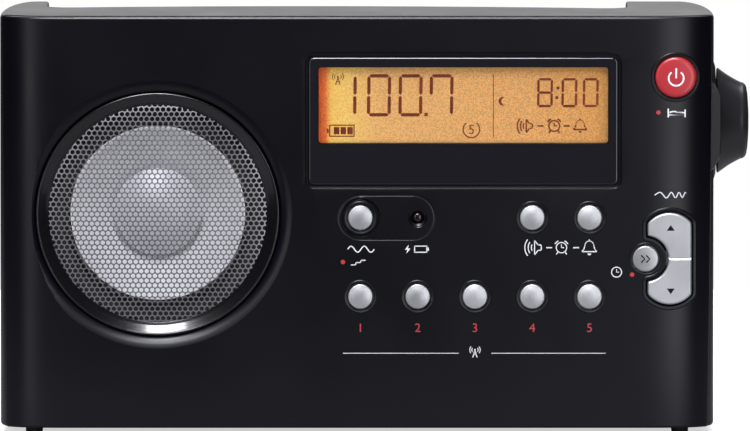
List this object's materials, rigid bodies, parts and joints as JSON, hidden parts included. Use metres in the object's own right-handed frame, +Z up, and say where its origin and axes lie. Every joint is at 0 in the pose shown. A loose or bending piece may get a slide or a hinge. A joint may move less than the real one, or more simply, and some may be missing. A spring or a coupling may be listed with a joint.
{
  "type": "tabletop radio",
  "caption": "Compact black clock radio with a round front speaker, amber display, round push keys, tuning rocker, side volume knob and a telescopic aerial in a rear grip recess.",
  "frame": {"origin": "on the surface that the feet stand on, under the middle of the cabinet in plan (the side knob is left out of that middle)", "axes": "+Z up; the front with the speaker and keys faces -Y; +X is to the right as seen from the front, where the volume knob is"},
  "size_m": [0.1954, 0.0557, 0.1093],
  "materials": {
    "cabinet_black": "fine satin moulded black plastic",
    "rubber_black": "matt black rubber",
    "screw_black": "blackened steel screws",
    "window_clear": "clear glossy acrylic",
    "lcd_amber": "amber back-lit display with dark segments",
    "white_plastic": "white moulded plastic",
    "light_guide": "milky acrylic light guide",
    "led_amber": "amber lamp body",
    "gloss_black": "glossy black plastic",
    "grille_steel": "perforated steel, silver lacquer",
    "gasket_foam": "soft black foam rubber",
    "steel_zinc": "zinc-plated pressed steel",
    "ferrite_dark": "dark grey ferrite ceramic",
    "yoke_steel": "yellow passivated steel",
    "cone_silver": "silver-coated cone",
    "copper": "enamelled copper wire",
    "spider_cloth": "corrugated resin-dipped cloth",
    "board_green": "green solder-masked board",
    "part_black": "moulded black component plastic",
    "capacitor_blue": "sleeved aluminium cans",
    "key_red": "glossy red key",
    "key_silver": "silver-lacquered plastic keys",
    "led_red": "dark unlit lamp",
    "knob_black": "satin black moulded knob",
    "shaft_steel": "turned and pressed steel",
    "cell_wrap": "plain grey sleeved cells",
    "contact_nickel": "nickel-plated spring steel",
    "aerial_chrome": "bright chromed brass tube"
  },
  "bodies": {
    "cabinet": {"front_cabinet": "cabinet_black", "rear_cabinet": "cabinet_black", "feet": "rubber_black", "cabinet_screws": "screw_black", "display_window": "window_clear", "lcd_glass": "lcd_amber", "lcd_holder": "white_plastic", "light_guide": "light_guide", "backlight_leds": "led_amber", "speaker_bezel": "gloss_black", "speaker_grille": "grille_steel", "speaker_gasket": "gasket_foam", "speaker_basket": "steel_zinc", "speaker_magnet": "ferrite_dark", "speaker_yoke": "yoke_steel", "speaker_surround": "gasket_foam", "speaker_spider": "spider_cloth", "speaker_screws": "steel_zinc", "control_board": "board_green", "tact_switches": "part_black", "control_screws": "steel_zinc", "charge_led": "led_red", "volume_control": "shaft_steel", "volume_nut": "steel_zinc", "main_board": "board_green", "main_screws": "steel_zinc", "tuner_shield": "steel_zinc", "board_chips": "part_black", "capacitors": "capacitor_blue", "jack_board": "board_green", "power_inlet": "part_black", "aux_jack": "part_black", "phones_jack": "part_black", "ferrite_rod": "ferrite_dark", "ferrite_coil": "copper", "battery_cells": "cell_wrap", "battery_contacts": "contact_nickel"},
    "power_key": {"power_button": "key_red"},
    "band_key": {"band_button": "key_silver"},
    "alarm_key_1": {"alarm_button_1": "key_silver"},
    "alarm_key_2": {"alarm_button_2": "key_silver"},
    "preset_key_1": {"preset_button_1": "key_silver"},
    "preset_key_2": {"preset_button_2": "key_silver"},
    "preset_key_3": {"preset_button_3": "key_silver"},
    "preset_key_4": {"preset_button_4": "key_silver"},
    "preset_key_5": {"preset_button_5": "key_silver"},
    "scan_key": {"scan_button": "key_silver"},
    "rocker": {"tuning_rocker": "key_silver"},
    "volume": {"volume_knob": "knob_black", "volume_shaft": "shaft_steel"},
    "cone": {"speaker_cone": "cone_silver", "dust_cap": "cone_silver", "voice_coil": "copper"},
    "door": {"battery_door": "cabinet_black"},
    "antenna_base": {"antenna_swivel": "aerial_chrome"},
    "antenna_arm": {"antenna_tube_1": "aerial_chrome"},
    "antenna_arm_2": {"antenna_tube_2": "aerial_chrome"},
    "antenna_arm_3": {"antenna_tube_3": "aerial_chrome"},
    "antenna_arm_4": {"antenna_rod": "aerial_chrome"}
  },
  "joints": [
    {"name": "power_press", "type": "slide", "parent": "cabinet", "child": "power_key", "axis": [0, 1, 0], "range_m": [0, 0.0005], "stiffness_N_per_m": 300, "springref_m": -0.0008},
    {"name": "band_press", "type": "slide", "parent": "cabinet", "child": "band_key", "axis": [0, 1, 0], "range_m": [0, 0.0005], "stiffness_N_per_m": 300, "springref_m": -0.0008},
    {"name": "alarm_1_press", "type": "slide", "parent": "cabinet", "child": "alarm_key_1", "axis": [0, 1, 0], "range_m": [0, 0.0005], "stiffness_N_per_m": 300, "springref_m": -0.0008},
    {"name": "alarm_2_press", "type": "slide", "parent": "cabinet", "child": "alarm_key_2", "axis": [0, 1, 0], "range_m": [0, 0.0005], "stiffness_N_per_m": 300, "springref_m": -0.0008},
    {"name": "preset_1_press", "type": "slide", "parent": "cabinet", "child": "preset_key_1", "axis": [0, 1, 0], "range_m": [0, 0.0005], "stiffness_N_per_m": 300, "springref_m": -0.0008},
    {"name": "preset_2_press", "type": "slide", "parent": "cabinet", "child": "preset_key_2", "axis": [0, 1, 0], "range_m": [0, 0.0005], "stiffness_N_per_m": 300, "springref_m": -0.0008},
    {"name": "preset_3_press", "type": "slide", "parent": "cabinet", "child": "preset_key_3", "axis": [0, 1, 0], "range_m": [0, 0.0005], "stiffness_N_per_m": 300, "springref_m": -0.0008},
    {"name": "preset_4_press", "type": "slide", "parent": "cabinet", "child": "preset_key_4", "axis": [0, 1, 0], "range_m": [0, 0.0005], "stiffness_N_per_m": 300, "springref_m": -0.0008},
    {"name": "preset_5_press", "type": "slide", "parent": "cabinet", "child": "preset_key_5", "axis": [0, 1, 0], "range_m": [0, 0.0005], "stiffness_N_per_m": 300, "springref_m": -0.0008},
    {"name": "scan_press", "type": "slide", "parent": "cabinet", "child": "scan_key", "axis": [0, 1, 0], "range_m": [0, 0.0005], "stiffness_N_per_m": 300, "springref_m": -0.0008},
    {"name": "tuning_rock", "type": "hinge", "parent": "cabinet", "child": "rocker", "pos_m": [0.0814, -0.02172, 0.0461], "axis": [1, 0, 0], "range_deg": [-3, 3], "stiffness_Nm_per_rad": 0.05},
    {"name": "volume_turn", "type": "hinge", "parent": "cabinet", "child": "volume", "pos_m": [0.094, 0, 0.0801], "axis": [1, 0, 0], "range_deg": [-150, 150]},
    {"name": "cone_stroke", "type": "slide", "parent": "cabinet", "child": "cone", "axis": [0, 1, 0], "range_m": [-0.0006, 0.0006], "stiffness_N_per_m": 900, "deforming": ["speaker_surround", "speaker_spider"]},
    {"name": "battery_door_lift", "type": "slide", "parent": "cabinet", "child": "door", "axis": [0, 1, 0], "range_m": [0, 0.025]},
    {"name": "antenna_swivel_turn", "type": "hinge", "parent": "cabinet", "child": "antenna_base", "pos_m": [-0.072, 0.0205, 0.0953], "axis": [0, 0, 1], "range_deg": [0, 180]},
    {"name": "antenna_tilt", "type": "hinge", "parent": "antenna_base", "child": "antenna_arm", "pos_m": [-0.072, 0.0205, 0.1006], "axis": [0, -1, 0], "range_deg": [0, 90]},
    {"name": "antenna_pull_2", "type": "slide", "parent": "antenna_arm", "child": "antenna_arm_2", "axis": [1, 0, 0], "range_m": [0, 0.095]},
    {"name": "antenna_pull_3", "type": "slide", "parent": "antenna_arm_2", "child": "antenna_arm_3", "axis": [1, 0, 0], "range_m": [0, 0.095]},
    {"name": "antenna_pull_4", "type": "slide", "parent": "antenna_arm_3", "child": "antenna_arm_4", "axis": [1, 0, 0], "range_m": [0, 0.095]}
  ],
  "couplings": [
    {"joint": "antenna_pull_3", "follows": "antenna_pull_2", "ratio": 1},
    {"joint": "antenna_pull_4", "follows": "antenna_pull_2", "ratio": 1}
  ]
}
